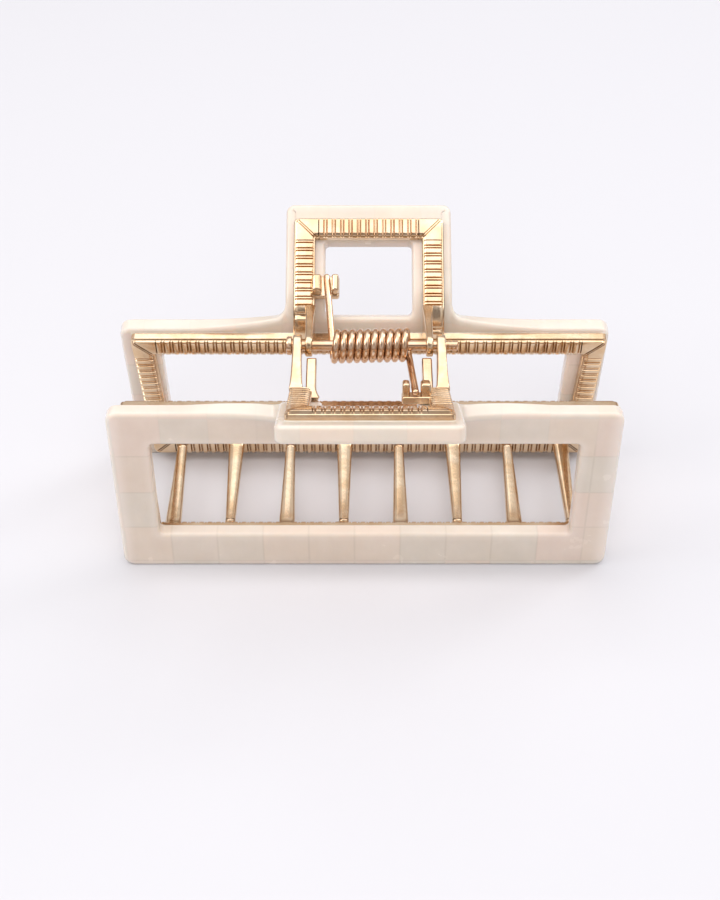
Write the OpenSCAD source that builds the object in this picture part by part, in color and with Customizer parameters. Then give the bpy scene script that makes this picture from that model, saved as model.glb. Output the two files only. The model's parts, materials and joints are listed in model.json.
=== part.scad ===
// Rectangular claw clip: two mirror-image jaws on one pin, held shut by a torsion spring.
// Millimetres. The pin runs along X, the front jaw is at -Y, and the clip stands on z = 0.
// Every jaw piece is drawn as the front jaw's; the rear jaw is the same turned half round Z.

/* [Covers] */
// Width of a cover, end to end
cover_w = 92; // [88:0.5:98]
// Thickness of the acetate sheet
cover_t = 3.15; // [2.8:0.05:3.4]
// Height of a cover's top outer edge above the table
cover_top_z = 36.8; // [35:0.1:38]
// Distance of the top outer edge from the pin's plane
cover_top_y = 13.1; // [12.8:0.1:13.6]
// Distance of the bottom outer edge from the pin's plane
cover_bottom_y = 16.7; // [16:0.1:17.5]
// Radius of the corners in the sheet's outline
corner_r = 1.8; // [1:0.1:2.5]
// Border of sheet at each end of the main window
window_side = 7.3; // [6.5:0.1:8]
// Border of sheet above the main window
window_top = 7.1; // [6.2:0.1:7.5]
// Border of sheet below the main window
window_bottom = 8.0; // [8:0.1:11]

/* [Cover handles] */
// Width of the handle
handle_w = 31.2; // [30.6:0.1:33]
// Length of the handle from the bend
handle_len = 21.7; // [21:0.1:24]
// Lean of the handle away from upright, degrees
handle_lean = 59.25; // [56:0.25:62]
// Width of the square window in the handle
handle_window_w = 16.3; // [15:0.1:17]
// Length of the square window in the handle
handle_window_len = 14; // [12:0.1:14.5]
// Radius inside the bend, on the outer face
bend_r = 1.2; // [0.8:0.1:1.5]

/* [Castings] */
// Width of the frame along its top bar
frame_top_w = 89.3; // [86:0.1:90]
// Width of the frame along its bottom bar
frame_bottom_w = 87.2; // [85:0.1:88]
// Lowest edge of the frame above the cover's bottom
frame_bottom = 2.2; // [2:0.1:4]
// Width of the bars
bar_w = 4; // [3.4:0.1:4.2]
// Thickness of the bars over the ribs
bar_t = 1.75; // [1.6:0.05:1.9]
// Spacing of the ribs
rib_pitch = 1.62; // [1.5:0.01:1.8]
// Depth of the grooves between ribs
rib_h = 0.5; // [0.3:0.05:0.6]
// Outer width of the handle frame
handle_frame_w = 28.1; // [28:0.1:29]
// End of the handle frame along the handle
handle_frame_len = 18.3; // [18:0.1:20]
// Sideways offset of the metalwork and the handles from the plates' middle
metal_shift = 0.8; // [-1:0.1:1]
// Further sideways offset of the teeth
tooth_shift = 0.7; // [-1:0.1:1]

/* [Teeth] */
// Distance between neighbouring teeth of the closed clip
tooth_spacing = 10.95; // [10.5:0.05:11.2]
// Width of a tooth at its root
tooth_root_w = 3.1; // [2.8:0.1:3.3]
// Width of a tooth behind its tip
tooth_tip_w = 1.9; // [1.6:0.1:2.2]
// Thickness of a tooth
tooth_t = 2; // [1.8:0.1:2.4]
// Height of the teeth's middle above the table
tooth_z = 4.9; // [4.6:0.1:5.2]

/* [Hinge] */
// Height of the pin above the table
pin_z = 41.35; // [41:0.05:41.6]
// Diameter of the pin
pin_d = 1.9; // [1.8:0.05:2]
// Radius of the rounded lug ends
lug_r = 2; // [1.8:0.05:2.2]
// Radial running clearance of the pin
pin_gap = 0.05; // [0.03:0.01:0.09]

/* [Spring] */
// Diameter of the spring's wire
wire_d = 1.2; // [1.1:0.05:1.25]
// Diameter of the coil, wire middle to wire middle
coil_d = 5; // [4.8:0.1:5.2]
// Advance of each turn along the pin
coil_pitch = 1.36; // [1.3:0.01:1.38]
// Whole turns of the coil
coil_turns = 10; // [9:1:10]

/* [Hidden] */
$fn = 48;
fine = 0.01;

gold = "#d9b384";
gold_shade = "#c99f6c";
pearl = "#e6dccb";
glue = "#f2f0e6";
steel_gold = "#c89c6a";

// The sheet: its lean, its length, and where the flat ends and the bend begins
lean = atan((cover_bottom_y - cover_top_y) / cover_top_z);
sheet_len = cover_top_z / cos(lean);
bend = handle_lean + lean;
bend_run = bend_r * tan(bend / 2);
flat_end = sheet_len - bend_run;
bend_steps = 8;
foot_trim = 0.4;
window_step = 0.2;
spare = 2;

// Depths below the outer face: back of the sheet, back of the glue, groove floor, rib top
glue_t = 0.1;
metal_d = cover_t + glue_t;
face_d = metal_d + bar_t;
groove_d = face_d - rib_h;
groove_w = 0.42;
frame_h = flat_end - frame_bottom;

// Lugs: inner faces and thicknesses, from the metalwork's middle
rear_lug_x = 10.2;
rear_lug_t = 1.3;
front_lug_x = 12;
front_lug_t = 1.75;
web_x = 9.2;
web_y = -(lug_r + 0.5);

// Fork: the two posts, the gap for the leg, and the base plate
post_in_x = 5.6;
post_in_w = 1.3;
post_out_x = 8.75;
handle_bar_in = handle_frame_w / 2 - bar_w;
fork_s = 2.6;
fork_len = 3.9;
fork_base_d = 4.6;
fork_top_d = 6.9;
fork_floor_gap = 0.15;
leg_x = (post_in_x + post_in_w + post_out_x) / 2;

// Teeth: four each side, running past the middle to the other jaw's bottom bar
teeth_n = 4;
tip_gap = 0.45;
tip_r = tooth_tip_w / 2 + 0.1;
bar_face_y = cover_bottom_y - tooth_z * tan(lean) - face_d / cos(lean);
tip_y = bar_face_y - tip_gap - tip_r;
tooth_flare = 1.5;

// Pin
head_gap = 0.15;
head_t = 1.1;
head_r = 1.7;
pin_tail = 2.3;
pin_chamfer = 0.25;

// Spring: the legs leave the bottom of the coil at a tangent and rest in the forks
wire_sides = 8;
ring_steps = 16;
leg_s = 7;
leg_d = fork_base_d + wire_d / 2 + 0.08;

// A point in the plane of the clip's side, on the upright sheet or on the handle
function on_sheet(v, d) = [
    -cover_bottom_y + v * sin(lean) + d * cos(lean),
    v * cos(lean) - d * sin(lean)
];
function on_lever(s, d) = [
    -cover_top_y - s * sin(handle_lean) + d * cos(handle_lean),
    cover_top_z + s * cos(handle_lean) + d * sin(handle_lean)
];

// The bend's arc at depth d, from the sheet to the handle
bend_mid = on_sheet(flat_end, -bend_r);
function bend_arc(d) = [
    for (i = [0:bend_steps])
        let (a = -lean + bend * i / bend_steps)
            bend_mid + (bend_r + d) * [cos(a), sin(a)]
];
function reversed(list) = [for (i = [len(list) - 1:-1:0]) list[i]];

// The bend and the handle as one layer between two depths, up to length s1
function lever_profile(d0, d1, s1) =
    concat(bend_arc(d0), [on_lever(s1, d0), on_lever(s1, d1)], reversed(bend_arc(d1)));

module at_rear() {
    rotate([0, 0, 180]) children();
}
module shifted(more = 0) {
    translate([metal_shift + more, 0, 0]) children();
}
// Local x along the clip, y up the sheet, z out of its outer face
module sheet_frame(d) {
    translate([0, -cover_bottom_y, 0]) rotate([90 - lean, 0, 0]) translate([0, 0, -d]) children();
}
// Local x along the clip, y up the handle, z out of its outer face
module lever_frame(d) {
    translate([0, -cover_top_y, cover_top_z]) rotate([90 + handle_lean, 0, 0])
        translate([0, 0, -d]) children();
}
// An outline given as [y, z] points, made w wide from x0 along X
module side_prism(points, x0, w) {
    translate([x0, 0, 0]) rotate([90, 0, 90]) linear_extrude(w) polygon(points);
}
module rounded_box_2d(x0, y0, w, h, r) {
    translate([x0 + r, y0]) square([w - 2 * r, h]);
    translate([x0, y0 + r]) square([w, h - 2 * r]);
    for (x = [x0 + r, x0 + w - r], y = [y0 + r, y0 + h - r]) translate([x, y]) circle(r);
}

// A tongue w wide and h long along y, with its two far corners rounded
module tongue_2d(w, h, r) {
    translate([-w / 2, 0]) square([w, h - r]);
    translate([-w / 2 + r, h - r]) square([w - 2 * r, r]);
    for (side = [-1, 1]) translate([side * (w / 2 - r), h - r]) circle(r);
}

// The whole sheet from the side: level foot, upright plate, bend and handle
function sheet_profile() = concat(
    [[-cover_bottom_y, 0]], bend_arc(0),
    [on_lever(handle_len + spare, 0), on_lever(handle_len + spare, cover_t)],
    reversed(bend_arc(cover_t)), [[-cover_bottom_y + cover_t / cos(lean), 0]]
);

// One bent acetate sheet, cut to a plate and a handle, with a window in each.
// The handle's middle is handle_x from the plate's.
module cover(handle_x) {
    deep = cover_t + 2 * spare;
    difference() {
        intersection() {
            side_prism(sheet_profile(), -cover_w / 2 - spare, cover_w + 2 * spare);
            union() {
                sheet_frame(cover_t + spare) linear_extrude(deep)
                    rounded_box_2d(-cover_w / 2, -foot_trim, cover_w, sheet_len + foot_trim, corner_r);
                lever_frame(cover_t + spare) translate([handle_x, -spare, 0]) linear_extrude(deep)
                    tongue_2d(handle_w, handle_len + spare, corner_r);
            }
        }
        sheet_frame(cover_t + spare) linear_extrude(deep)
            rounded_box_2d(-cover_w / 2 + window_side, window_bottom, cover_w - 2 * window_side,
                sheet_len - window_top - window_bottom, corner_r / 2);
        lever_frame(cover_t + spare) linear_extrude(deep)
            rounded_box_2d(handle_x - handle_window_w / 2, bend_run + window_step, handle_window_w,
                handle_window_len - window_step, corner_r / 2);
    }
}

// Outline of the frame, which narrows a little towards the bottom
module frame_outline(inset) {
    top = frame_top_w / 2 - inset;
    bottom = frame_bottom_w / 2 - inset;
    polygon([
        [-bottom, frame_bottom + inset], [bottom, frame_bottom + inset],
        [top, flat_end - inset], [-top, flat_end - inset]
    ]);
}
module frame_ring() {
    difference() {
        frame_outline(0);
        frame_outline(bar_w);
    }
}
// Grooves of a row of ribs along X, centred, n of them, each h long across the bar
module rib_grooves(n, pitch, h) {
    for (i = [0:n - 1]) translate([(i - (n - 1) / 2) * pitch - groove_w / 2, 0])
        cube([groove_w, h, rib_h + 1]);
}

// The ribbed rectangular frame of the casting
module jaw_frame() {
    across = frame_bottom_w - 2 * bar_w;
    up = frame_h - 2 * bar_w;
    across_n = floor(across / rib_pitch);
    up_n = floor(up / rib_pitch);
    side_lean = atan((frame_top_w - frame_bottom_w) / 2 / frame_h);
    difference() {
        sheet_frame(face_d) linear_extrude(bar_t) frame_ring();
        sheet_frame(face_d + 1) {
            translate([0, flat_end - bar_w - fine, 0]) rib_grooves(across_n, rib_pitch, bar_w + 1);
            translate([0, frame_bottom - 1, 0]) rib_grooves(across_n, rib_pitch, bar_w + 1 + fine);
            for (side = [-1, 1])
                translate([side * (frame_top_w + frame_bottom_w) / 4, frame_bottom + frame_h / 2, 0])
                    rotate([0, 0, 90 - side * side_lean]) translate([0, -bar_w, 0])
                        rib_grooves(up_n, rib_pitch, 2 * bar_w);
        }
    }
}

// The ribbed U that the handle rests on, from the frame's top bar round the bend
module handle_frame() {
    bar_len = handle_frame_len - bend_run;
    side_n = floor(bar_len / rib_pitch);
    end_n = floor(2 * handle_bar_in / rib_pitch);
    difference() {
        union() {
            for (x0 = [-handle_frame_w / 2, handle_bar_in])
                side_prism(lever_profile(metal_d, face_d, handle_frame_len), x0, bar_w);
            lever_frame(face_d) translate([-handle_bar_in - 1, handle_frame_len - bar_w, 0])
                cube([2 * handle_bar_in + 2, bar_w, bar_t]);
        }
        lever_frame(face_d + 1) {
            for (side = [-1, 1])
                translate([side * (handle_bar_in + bar_w / 2), bend_run + bar_len / 2, 0])
                    rotate([0, 0, 90]) translate([0, -bar_w, 0])
                        rib_grooves(side_n, rib_pitch, 2 * bar_w);
            translate([0, handle_frame_len - bar_w - fine, 0])
                rib_grooves(end_n, rib_pitch, bar_w + 1);
        }
    }
}

// Outline of a lug: the whole bend as its root, then straight sides to the round eye
function lug_outline() =
    let (
        eye = [0, pin_z],
        low = bend_arc(face_d)[0],
        high = bend_arc(face_d)[bend_steps],
        to_low = low - eye,
        to_high = high - eye,
        a_low = atan2(to_low[1], to_low[0]) + acos(lug_r / norm(to_low)),
        a_high = atan2(to_high[1], to_high[0]) - acos(lug_r / norm(to_high))
    )
    concat(bend_arc(face_d), [
        eye + lug_r * [cos(a_high), sin(a_high)],
        eye,
        eye + lug_r * [cos(a_low), sin(a_low)]
    ]);

module eyes(x0, w) {
    for (x = [-x0 - w, x0]) translate([x, 0, pin_z]) rotate([0, 90, 0]) cylinder(r = lug_r, h = w);
}
module bores(x0, w, r) {
    for (x = [-x0 - w, x0]) translate([x - 1, 0, pin_z]) rotate([0, 90, 0]) cylinder(r = r, h = w + 2);
}
// A pair of lugs w thick whose inner faces are x0 from the middle
module lug_pair(x0, w, r) {
    difference() {
        union() {
            for (x = [-x0 - w, x0]) side_prism(lug_outline(), x, w);
            eyes(x0, w);
        }
        bores(x0, w, r);
    }
}
// The thicker foot of the front lugs, which stops short of the rear lugs' eyes
module lug_feet() {
    for (x = [-front_lug_x, web_x]) difference() {
        side_prism(lug_outline(), x, front_lug_x - web_x);
        translate([x - 1, web_y, 0]) cube([front_lug_x, cover_top_y, 2 * pin_z]);
    }
}

// Flat tapered teeth with a flared root and a ball at the tip
module tooth() {
    root = tooth_root_w / 2;
    tip = tooth_tip_w / 2;
    difference() {
        union() {
            translate([0, 0, tooth_z - tooth_t / 2]) linear_extrude(tooth_t) polygon([
                [-root - tooth_flare / 2, -bar_face_y - 1], [root + tooth_flare / 2, -bar_face_y - 1],
                [root, -bar_face_y + tooth_flare], [tip, tip_y], [-tip, tip_y],
                [-root, -bar_face_y + tooth_flare]
            ]);
            translate([0, tip_y, tooth_z]) sphere(tip_r);
        }
        sheet_frame(face_d) translate([-tooth_spacing, -1, 0])
            cube([2 * tooth_spacing, tooth_spacing * 2, 2 * bar_t]);
    }
}
module teeth() {
    for (i = [0:teeth_n - 1]) translate([(2 * i - teeth_n + 0.5) * tooth_spacing, 0, 0]) tooth();
}

// Two posts on a base plate beside the handle bar, which hold one leg of the spring
module spring_fork() {
    lever_frame(fork_base_d) translate([post_in_x, fork_s, 0])
        cube([handle_bar_in - post_in_x, fork_len, fork_base_d - metal_d - fork_floor_gap]);
    lever_frame(fork_top_d) {
        translate([post_in_x, fork_s, 0]) cube([post_in_w, fork_len, fork_top_d - fork_base_d]);
        translate([post_out_x, fork_s, 0])
            cube([handle_bar_in - post_out_x, fork_len, fork_top_d - fork_base_d]);
    }
}

// The film of glue between the casting and the sheet
module adhesive() {
    sheet_frame(metal_d) linear_extrude(glue_t) frame_ring();
    for (x0 = [-handle_frame_w / 2, handle_bar_in])
        side_prism(lever_profile(cover_t, metal_d, handle_frame_len), x0, bar_w);
    lever_frame(metal_d) translate([-handle_bar_in, handle_frame_len - bar_w, 0])
        cube([2 * handle_bar_in, bar_w, glue_t]);
}

// The headed pin, turned about its own axis from the head's outer face
module pin() {
    head_x = -front_lug_x - front_lug_t - head_gap;
    tail_x = front_lug_x + front_lug_t + pin_tail;
    r = pin_d / 2;
    translate([head_x - head_t, 0, pin_z]) rotate([0, 90, 0]) rotate_extrude() polygon([
        [0, 0], [head_r - pin_chamfer, 0], [head_r, pin_chamfer], [head_r, head_t], [r, head_t],
        [r, tail_x - head_x + head_t - pin_chamfer], [r - pin_chamfer, tail_x - head_x + head_t],
        [0, tail_x - head_x + head_t]
    ]);
}

// Spring wire: leg, helix, leg. Angle 0 is the bottom of the coil and 90 its front.
leg_end = on_lever(leg_s, leg_d);
leg_reach = [leg_end[0], leg_end[1] - pin_z];
leg_rise = atan2(leg_reach[1], -leg_reach[0]) + asin(coil_d / 2 / norm(leg_reach));
coil_half = coil_turns * coil_pitch / 2;
function coil_point(a) = [
    -coil_half + coil_pitch * a / 360,
    -coil_d / 2 * sin(a),
    pin_z - coil_d / 2 * cos(a)
];
wire_path = concat(
    [[-leg_x, -leg_end[0], leg_end[1]]],
    [
        for (i = [0:coil_turns * ring_steps])
            coil_point(-leg_rise + (coil_turns * 360 + 2 * leg_rise) * i / (coil_turns * ring_steps))
    ],
    [[leg_x, leg_end[0], leg_end[1]]]
);
function unit(v) = v / norm(v);
function ring(i) =
    let (
        n = len(wire_path) - 1,
        t = unit(wire_path[min(i + 1, n)] - wire_path[max(i - 1, 0)]),
        side = unit([1, 0, 0] - t[0] * t),
        up = cross(t, side)
    )
    [
        for (k = [0:wire_sides - 1])
            let (a = 360 * k / wire_sides)
                wire_path[i] + wire_d / 2 * (cos(a) * side + sin(a) * up)
    ];
module wire() {
    n = len(wire_path);
    m = wire_sides;
    polyhedron(
        points = [for (i = [0:n - 1], p = ring(i)) p],
        faces = concat(
            [[for (k = [0:m - 1]) k]],
            [
                for (i = [0:n - 2], k = [0:m - 1])
                    [i * m + k, (i + 1) * m + k, (i + 1) * m + (k + 1) % m, i * m + (k + 1) % m]
            ],
            [[for (k = [m - 1:-1:0]) (n - 1) * m + k]]
        )
    );
}

module rear_jaw_frame() { color(gold) shifted() at_rear() jaw_frame(); }
module rear_handle_frame() { color(gold) shifted() at_rear() handle_frame(); }
module rear_lugs() {
    color(gold_shade) shifted() at_rear() lug_pair(rear_lug_x, rear_lug_t, pin_d / 2 + pin_gap);
}
module rear_teeth() { color(gold) shifted(tooth_shift) at_rear() teeth(); }
module rear_spring_fork() { color(gold_shade) shifted() at_rear() spring_fork(); }
module rear_adhesive() { color(glue) shifted() at_rear() adhesive(); }
module rear_cover() { color(pearl) at_rear() cover(-metal_shift); }
module front_jaw_frame() { color(gold) shifted() jaw_frame(); }
module front_handle_frame() { color(gold) shifted() handle_frame(); }
module front_lugs() {
    color(gold_shade) shifted() {
        lug_pair(front_lug_x, front_lug_t, pin_d / 2 + pin_gap);
        lug_feet();
    }
}
module front_teeth() { color(gold) shifted(tooth_shift) teeth(); }
module front_spring_fork() { color(gold_shade) shifted() spring_fork(); }
module front_adhesive() { color(glue) shifted() adhesive(); }
module front_cover() { color(pearl) cover(metal_shift); }
module hinge_pin() { color(steel_gold) shifted() pin(); }
module torsion_spring() { color(steel_gold) shifted() wire(); }

rear_jaw_frame();
rear_handle_frame();
rear_lugs();
rear_teeth();
rear_spring_fork();
rear_adhesive();
rear_cover();
front_jaw_frame();
front_handle_frame();
front_lugs();
front_teeth();
front_spring_fork();
front_adhesive();
front_cover();
hinge_pin();
torsion_spring();
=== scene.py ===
import json
from math import acos, asin, atan, atan2, copysign, cos, pi, radians, sin, sqrt, tan, tau

import bmesh
import bpy
from bpy.props import FloatProperty, FloatVectorProperty, IntProperty, PointerProperty
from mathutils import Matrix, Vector


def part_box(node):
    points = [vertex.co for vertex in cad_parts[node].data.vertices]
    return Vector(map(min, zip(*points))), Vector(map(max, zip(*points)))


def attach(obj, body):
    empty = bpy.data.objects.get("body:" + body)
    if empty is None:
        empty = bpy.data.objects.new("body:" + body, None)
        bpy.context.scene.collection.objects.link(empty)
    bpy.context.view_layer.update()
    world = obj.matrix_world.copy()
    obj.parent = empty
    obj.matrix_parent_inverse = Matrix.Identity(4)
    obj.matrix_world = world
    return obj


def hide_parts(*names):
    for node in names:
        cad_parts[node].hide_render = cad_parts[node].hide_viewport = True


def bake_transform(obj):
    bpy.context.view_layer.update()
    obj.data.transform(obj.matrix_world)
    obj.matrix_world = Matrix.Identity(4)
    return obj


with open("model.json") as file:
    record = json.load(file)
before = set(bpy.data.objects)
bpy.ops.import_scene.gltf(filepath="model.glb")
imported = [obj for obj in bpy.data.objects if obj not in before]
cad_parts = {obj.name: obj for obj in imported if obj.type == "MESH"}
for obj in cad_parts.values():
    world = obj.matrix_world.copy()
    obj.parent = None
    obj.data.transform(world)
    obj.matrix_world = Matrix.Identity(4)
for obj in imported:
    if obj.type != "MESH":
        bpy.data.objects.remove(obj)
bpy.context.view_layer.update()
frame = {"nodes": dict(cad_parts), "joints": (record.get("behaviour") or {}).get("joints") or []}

bl_info = {
    "name": "Claw Clip",
    "version": (1, 0, 0),
    "blender": (4, 5, 0),
    "location": "View3D > Sidebar > Claw Clip",
    "description": "Builds a claw clip of pearl sheet and gold plated castings round its CAD frame",
    "category": "Add Mesh",
}

mm = 0.001
# The rear jaw is the front jaw turned half round Z
JAWS = {"front": 1, "rear": -1}

COVER_LOW, COVER_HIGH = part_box("front_cover")
RING_LOW, RING_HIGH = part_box("front_jaw_frame")
PIN_LOW, PIN_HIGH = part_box("hinge_pin")
HINGE = Vector(frame["joints"][0]["pos_m"])
# The metalwork sits a little beside the covers' middle, and the teeth a little further
METAL_SHIFT = (RING_LOW.x + RING_HIGH.x) / 2
TOOTH_SHIFT = 0.7 * mm


def length(name, description, default):
    """A length setting, in metres."""
    return FloatProperty(name=name, description=description, default=default, unit="LENGTH", precision=5)


def colour(name, description, default):
    """A colour setting, in linear light."""
    return FloatVectorProperty(name=name, description=description, default=default, subtype="COLOR",
                               min=0.0, max=1.0)


class CoverSizes(bpy.types.PropertyGroup):
    """Sizes of one bent pearl sheet."""
    width: length("Width", "Width of the plate", COVER_HIGH.x - COVER_LOW.x)
    thickness: length("Thickness", "Thickness of the sheet", 3.15 * mm)
    top_z: length("Top height", "Height of the plate's top outer edge", 36.8 * mm)
    top_y: length("Top distance", "Distance of the top outer edge from the pin", 13.1 * mm)
    foot_y: length("Foot distance", "Distance of the bottom outer edge from the pin", 16.7 * mm)
    corner: length("Corner radius", "Radius of the plate's corners", 2.0 * mm)
    edge: length("Edge radius", "Radius of the polished edges", 0.7 * mm)
    window_side: length("Window side", "Sheet beside the main window", 7.3 * mm)
    window_top: length("Window top", "Sheet above the main window", 7.1 * mm)
    window_bottom: length("Window bottom", "Sheet below the main window", 8.0 * mm)
    window_corner: length("Window corner", "Radius of the windows' corners", 0.85 * mm)
    bend_radius: length("Bend radius", "Radius of the heated bend, on the outer face", 8.5 * mm)
    handle_width: length("Handle width", "Width of the handle", 31.2 * mm)
    handle_length: length("Handle length", "Length of the handle from the bend's corner", 21.7 * mm)
    handle_corner: length("Handle corner", "Radius of the handle's corners", 1.6 * mm)
    handle_root: length("Handle root", "Radius of the hollow corners beside the handle", 1.8 * mm)
    handle_window_width: length("Handle window width", "Width of the handle's window", 16.3 * mm)
    handle_window_start: length("Handle window start", "Start of the window along the handle", 0.96 * mm)
    handle_window_end: length("Handle window end", "End of the window along the handle", 14.0 * mm)
    handle_shift: length("Handle shift", "Offset of the handle from the plate's middle", METAL_SHIFT)
    wing_reach: length("Wing reach", "How far out the wings still curl with the bend", 33.0 * mm)
    handle_lean: FloatProperty(name="Handle lean", description="Lean of the handle from upright",
                               default=radians(59.25), subtype="ANGLE")


class CastingSizes(bpy.types.PropertyGroup):
    """Sizes of the ribbed castings."""
    glue_line: length("Glue line", "Film between sheet and casting", 0.1 * mm)
    bar_width: length("Bar width", "Width of a bar", 4.0 * mm)
    bar_thickness: length("Bar thickness", "Thickness of a bar over its ribs", 1.75 * mm)
    frame_thickness: length("Frame thickness", "Thickness of the jaw's rectangular frame", 2.2 * mm)
    rib_height: length("Rib height", "Height of the ribs over the grooves", 0.5 * mm)
    rib_pitch: length("Rib pitch", "Spacing of the ribs", 1.62 * mm)
    top_width: length("Top width", "Width of the frame along its top bar", RING_HIGH.x - RING_LOW.x)
    bottom_width: length("Bottom width", "Width of the frame along its bottom bar", 87.2 * mm)
    bottom: length("Bottom", "Lowest edge of the frame along the sheet", 2.8 * mm)
    bend_radius: length("Bend radius", "Radius of the casting's bend, at the sheet's outer face", 1.2 * mm)
    handle_width: length("Handle width", "Outer width of the handle's casting", 28.1 * mm)
    handle_length: length("Handle length", "End of the handle's casting", 18.3 * mm)


class HingeSizes(bpy.types.PropertyGroup):
    """Sizes of the teeth, the lugs, the pin and the spring."""
    tooth_spacing: length("Tooth spacing", "Distance between neighbouring teeth, closed", 10.95 * mm)
    tooth_root: length("Tooth root", "Width of a tooth at its root", 3.1 * mm)
    tooth_tip: length("Tooth tip", "Width of a tooth behind its tip", 1.9 * mm)
    tooth_height: length("Tooth height", "Thickness of a tooth", 2.0 * mm)
    tooth_z: length("Tooth level", "Height of the teeth's middle", 4.9 * mm)
    tooth_gap: length("Tooth gap", "Gap between a tip and the other jaw's bar", 0.45 * mm)
    lug_radius: length("Lug radius", "Radius of the rounded lug ends", 2.0 * mm)
    pin_diameter: length("Pin diameter", "Diameter of the pin", 1.9 * mm)
    wire_diameter: length("Wire diameter", "Diameter of the spring's wire", 1.26 * mm)
    coil_diameter: length("Coil diameter", "Diameter of the coil, middle of wire to middle", 5.0 * mm)
    coil_pitch: length("Coil pitch", "Advance of each turn", 1.36 * mm)
    coil_turns: IntProperty(name="Coil turns", description="Whole turns of the coil",
                            default=10, min=6, max=10)


class Finishes(bpy.types.PropertyGroup):
    """Colours of the finishes."""
    gold: colour("Gold", "Plating on the castings", (0.82, 0.635, 0.445))
    gold_pin: colour("Pin gold", "Plating on the pin", (0.80, 0.57, 0.40))
    gold_wire: colour("Wire gold", "Plating on the spring wire", (0.78, 0.56, 0.40))
    pearl: colour("Pearl", "Ground of the pearl sheet", (0.71, 0.60, 0.495))
    pearl_cool: colour("Cool pearl", "Greenish tiles", (0.655, 0.60, 0.515))
    pearl_warm: colour("Warm pearl", "Pinkish tiles", (0.735, 0.595, 0.505))
    glue: colour("Glue", "Clear glue", (0.90, 0.88, 0.80))
    floor: colour("Floor", "Pale floor", (0.66, 0.66, 0.69))


def chosen(group):
    """The settings chosen in one of the clip's groups."""
    return getattr(bpy.context.scene, f"clip_{group}")


# ---- shader expressions

class Value:
    """A shader socket that takes part in Python expressions."""

    def __init__(self, graph, socket):
        self.graph = graph
        self.socket = socket

    def __add__(self, other):
        return self.graph.math("ADD", self, other)

    def __sub__(self, other):
        return self.graph.math("SUBTRACT", self, other)

    def __mul__(self, other):
        return self.graph.math("MULTIPLY", self, other)

    def __truediv__(self, other):
        return self.graph.math("DIVIDE", self, other)

    def __rsub__(self, other):
        return self.graph.math("SUBTRACT", other, self)


class Graph:
    """The node tree of one material or of the world."""

    def __init__(self, tree):
        self.tree = tree
        tree.nodes.clear()

    def node(self, kind, settings=None, sockets=None, out=0):
        """Adds a shader node: its settings first, then the values or links of its sockets."""
        node = self.tree.nodes.new(f"ShaderNode{kind}")
        for key, setting in (settings or {}).items():
            if key == "stops":
                self.set_stops(node.color_ramp, setting)
            else:
                setattr(node, key, setting)
        for key, given in (sockets or {}).items():
            if isinstance(given, Value):
                self.tree.links.new(given.socket, node.inputs[key])
            else:
                node.inputs[key].default_value = given
        return Value(self, node.outputs[out]) if node.outputs else node

    @staticmethod
    def set_stops(ramp, stops):
        """Gives a colour ramp its stops, each a position and a grey or a colour."""
        while len(ramp.elements) < len(stops):
            ramp.elements.new(1.0)
        for element, (position, shade) in zip(ramp.elements, stops):
            element.position = position
            element.color = (*shade, 1.0) if isinstance(shade, tuple) else (shade, shade, shade, 1.0)

    def math(self, operation, a, b=0.0):
        return self.node("Math", {"operation": operation}, {0: a, 1: b})

    def vector(self, operation, a, b=(0.0, 0.0, 0.0), out=0):
        return self.node("VectorMath", {"operation": operation}, {0: a, 1: b}, out)

    def mix(self, factor, a, b):
        """A colour between a and b."""
        colours = [c if isinstance(c, Value) else (*c, 1.0) for c in (a, b)]
        return self.node("Mix", {"data_type": "RGBA"}, {0: factor, 6: colours[0], 7: colours[1]}, 2)

    def rise(self, factor, low, high):
        """A grey that rises smoothly from 0 to 1 while the factor goes from low to high."""
        made = self.node("ValToRGB", {"stops": [(low, 0.0), (high, 1.0)]}, {0: factor})
        made.socket.node.color_ramp.interpolation = "EASE"
        return made

    def place(self):
        """A point's place in its piece, in metres."""
        return self.node("TexCoord", None, None, 3)

    def axis(self, vector, index):
        """One axis of a vector."""
        return self.node("SeparateXYZ", None, {0: vector}, index)

    def chance(self, cell):
        """An even random grey for a grid's cell."""
        return self.node("TexWhiteNoise", {"noise_dimensions": "2D"}, {"Vector": cell})

    def noise(self, place, scale, detail, rough=0.5):
        return self.node("TexNoise", None,
                         {"Vector": place, "Scale": scale, "Detail": detail, "Roughness": rough})

    def bump(self, height, strength, distance, **under):
        """A bump, over another one where Normal is given."""
        sockets = {"Height": height, "Strength": strength, "Distance": distance, **under}
        return self.node("Bump", None, sockets)

    def surface(self, sockets):
        """A Principled shader on the output."""
        shader = self.node("BsdfPrincipled", None, sockets)
        self.node("OutputMaterial", None, {"Surface": shader})


def new_material(name):
    """A material and its graph."""
    material = bpy.data.materials.get(name) or bpy.data.materials.new(name)
    material.use_nodes = True
    return material, Graph(material.node_tree)


# How much of each colour the deeper patches of plating keep
DEEPER = (0.90, 0.82, 0.72)


def plated_gold(name, tone, polish, grain):
    """Gold plating over a die casting: slow waves, fine pits and small changes of tone."""
    material, g = new_material(name)
    place = g.place()
    patches = g.noise(place, 260.0, 3.0)
    fine = g.noise(place, 2600.0, 4.0, 0.6)
    waves = g.noise(place, 520.0, 2.0)
    deep = tuple(c * f for c, f in zip(tone, DEEPER))
    base = g.mix(g.rise(patches, 0.35, 0.65), tone, deep)
    rough = g.rise(fine, 0.3, 0.75) * 0.08 + (patches * 0.06 + polish)
    soft = g.bump(waves, grain, 0.12 * mm)
    cast = g.bump(fine, grain * 0.6, 0.03 * mm, Normal=soft)
    g.surface({"Base Color": base, "Metallic": 1.0, "Roughness": rough, "Normal": cast})
    return material


def gold_casting():
    """Finish of the jaws' castings."""
    return plated_gold("gold_plating", chosen("finishes").gold, 0.14, 0.22)


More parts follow.
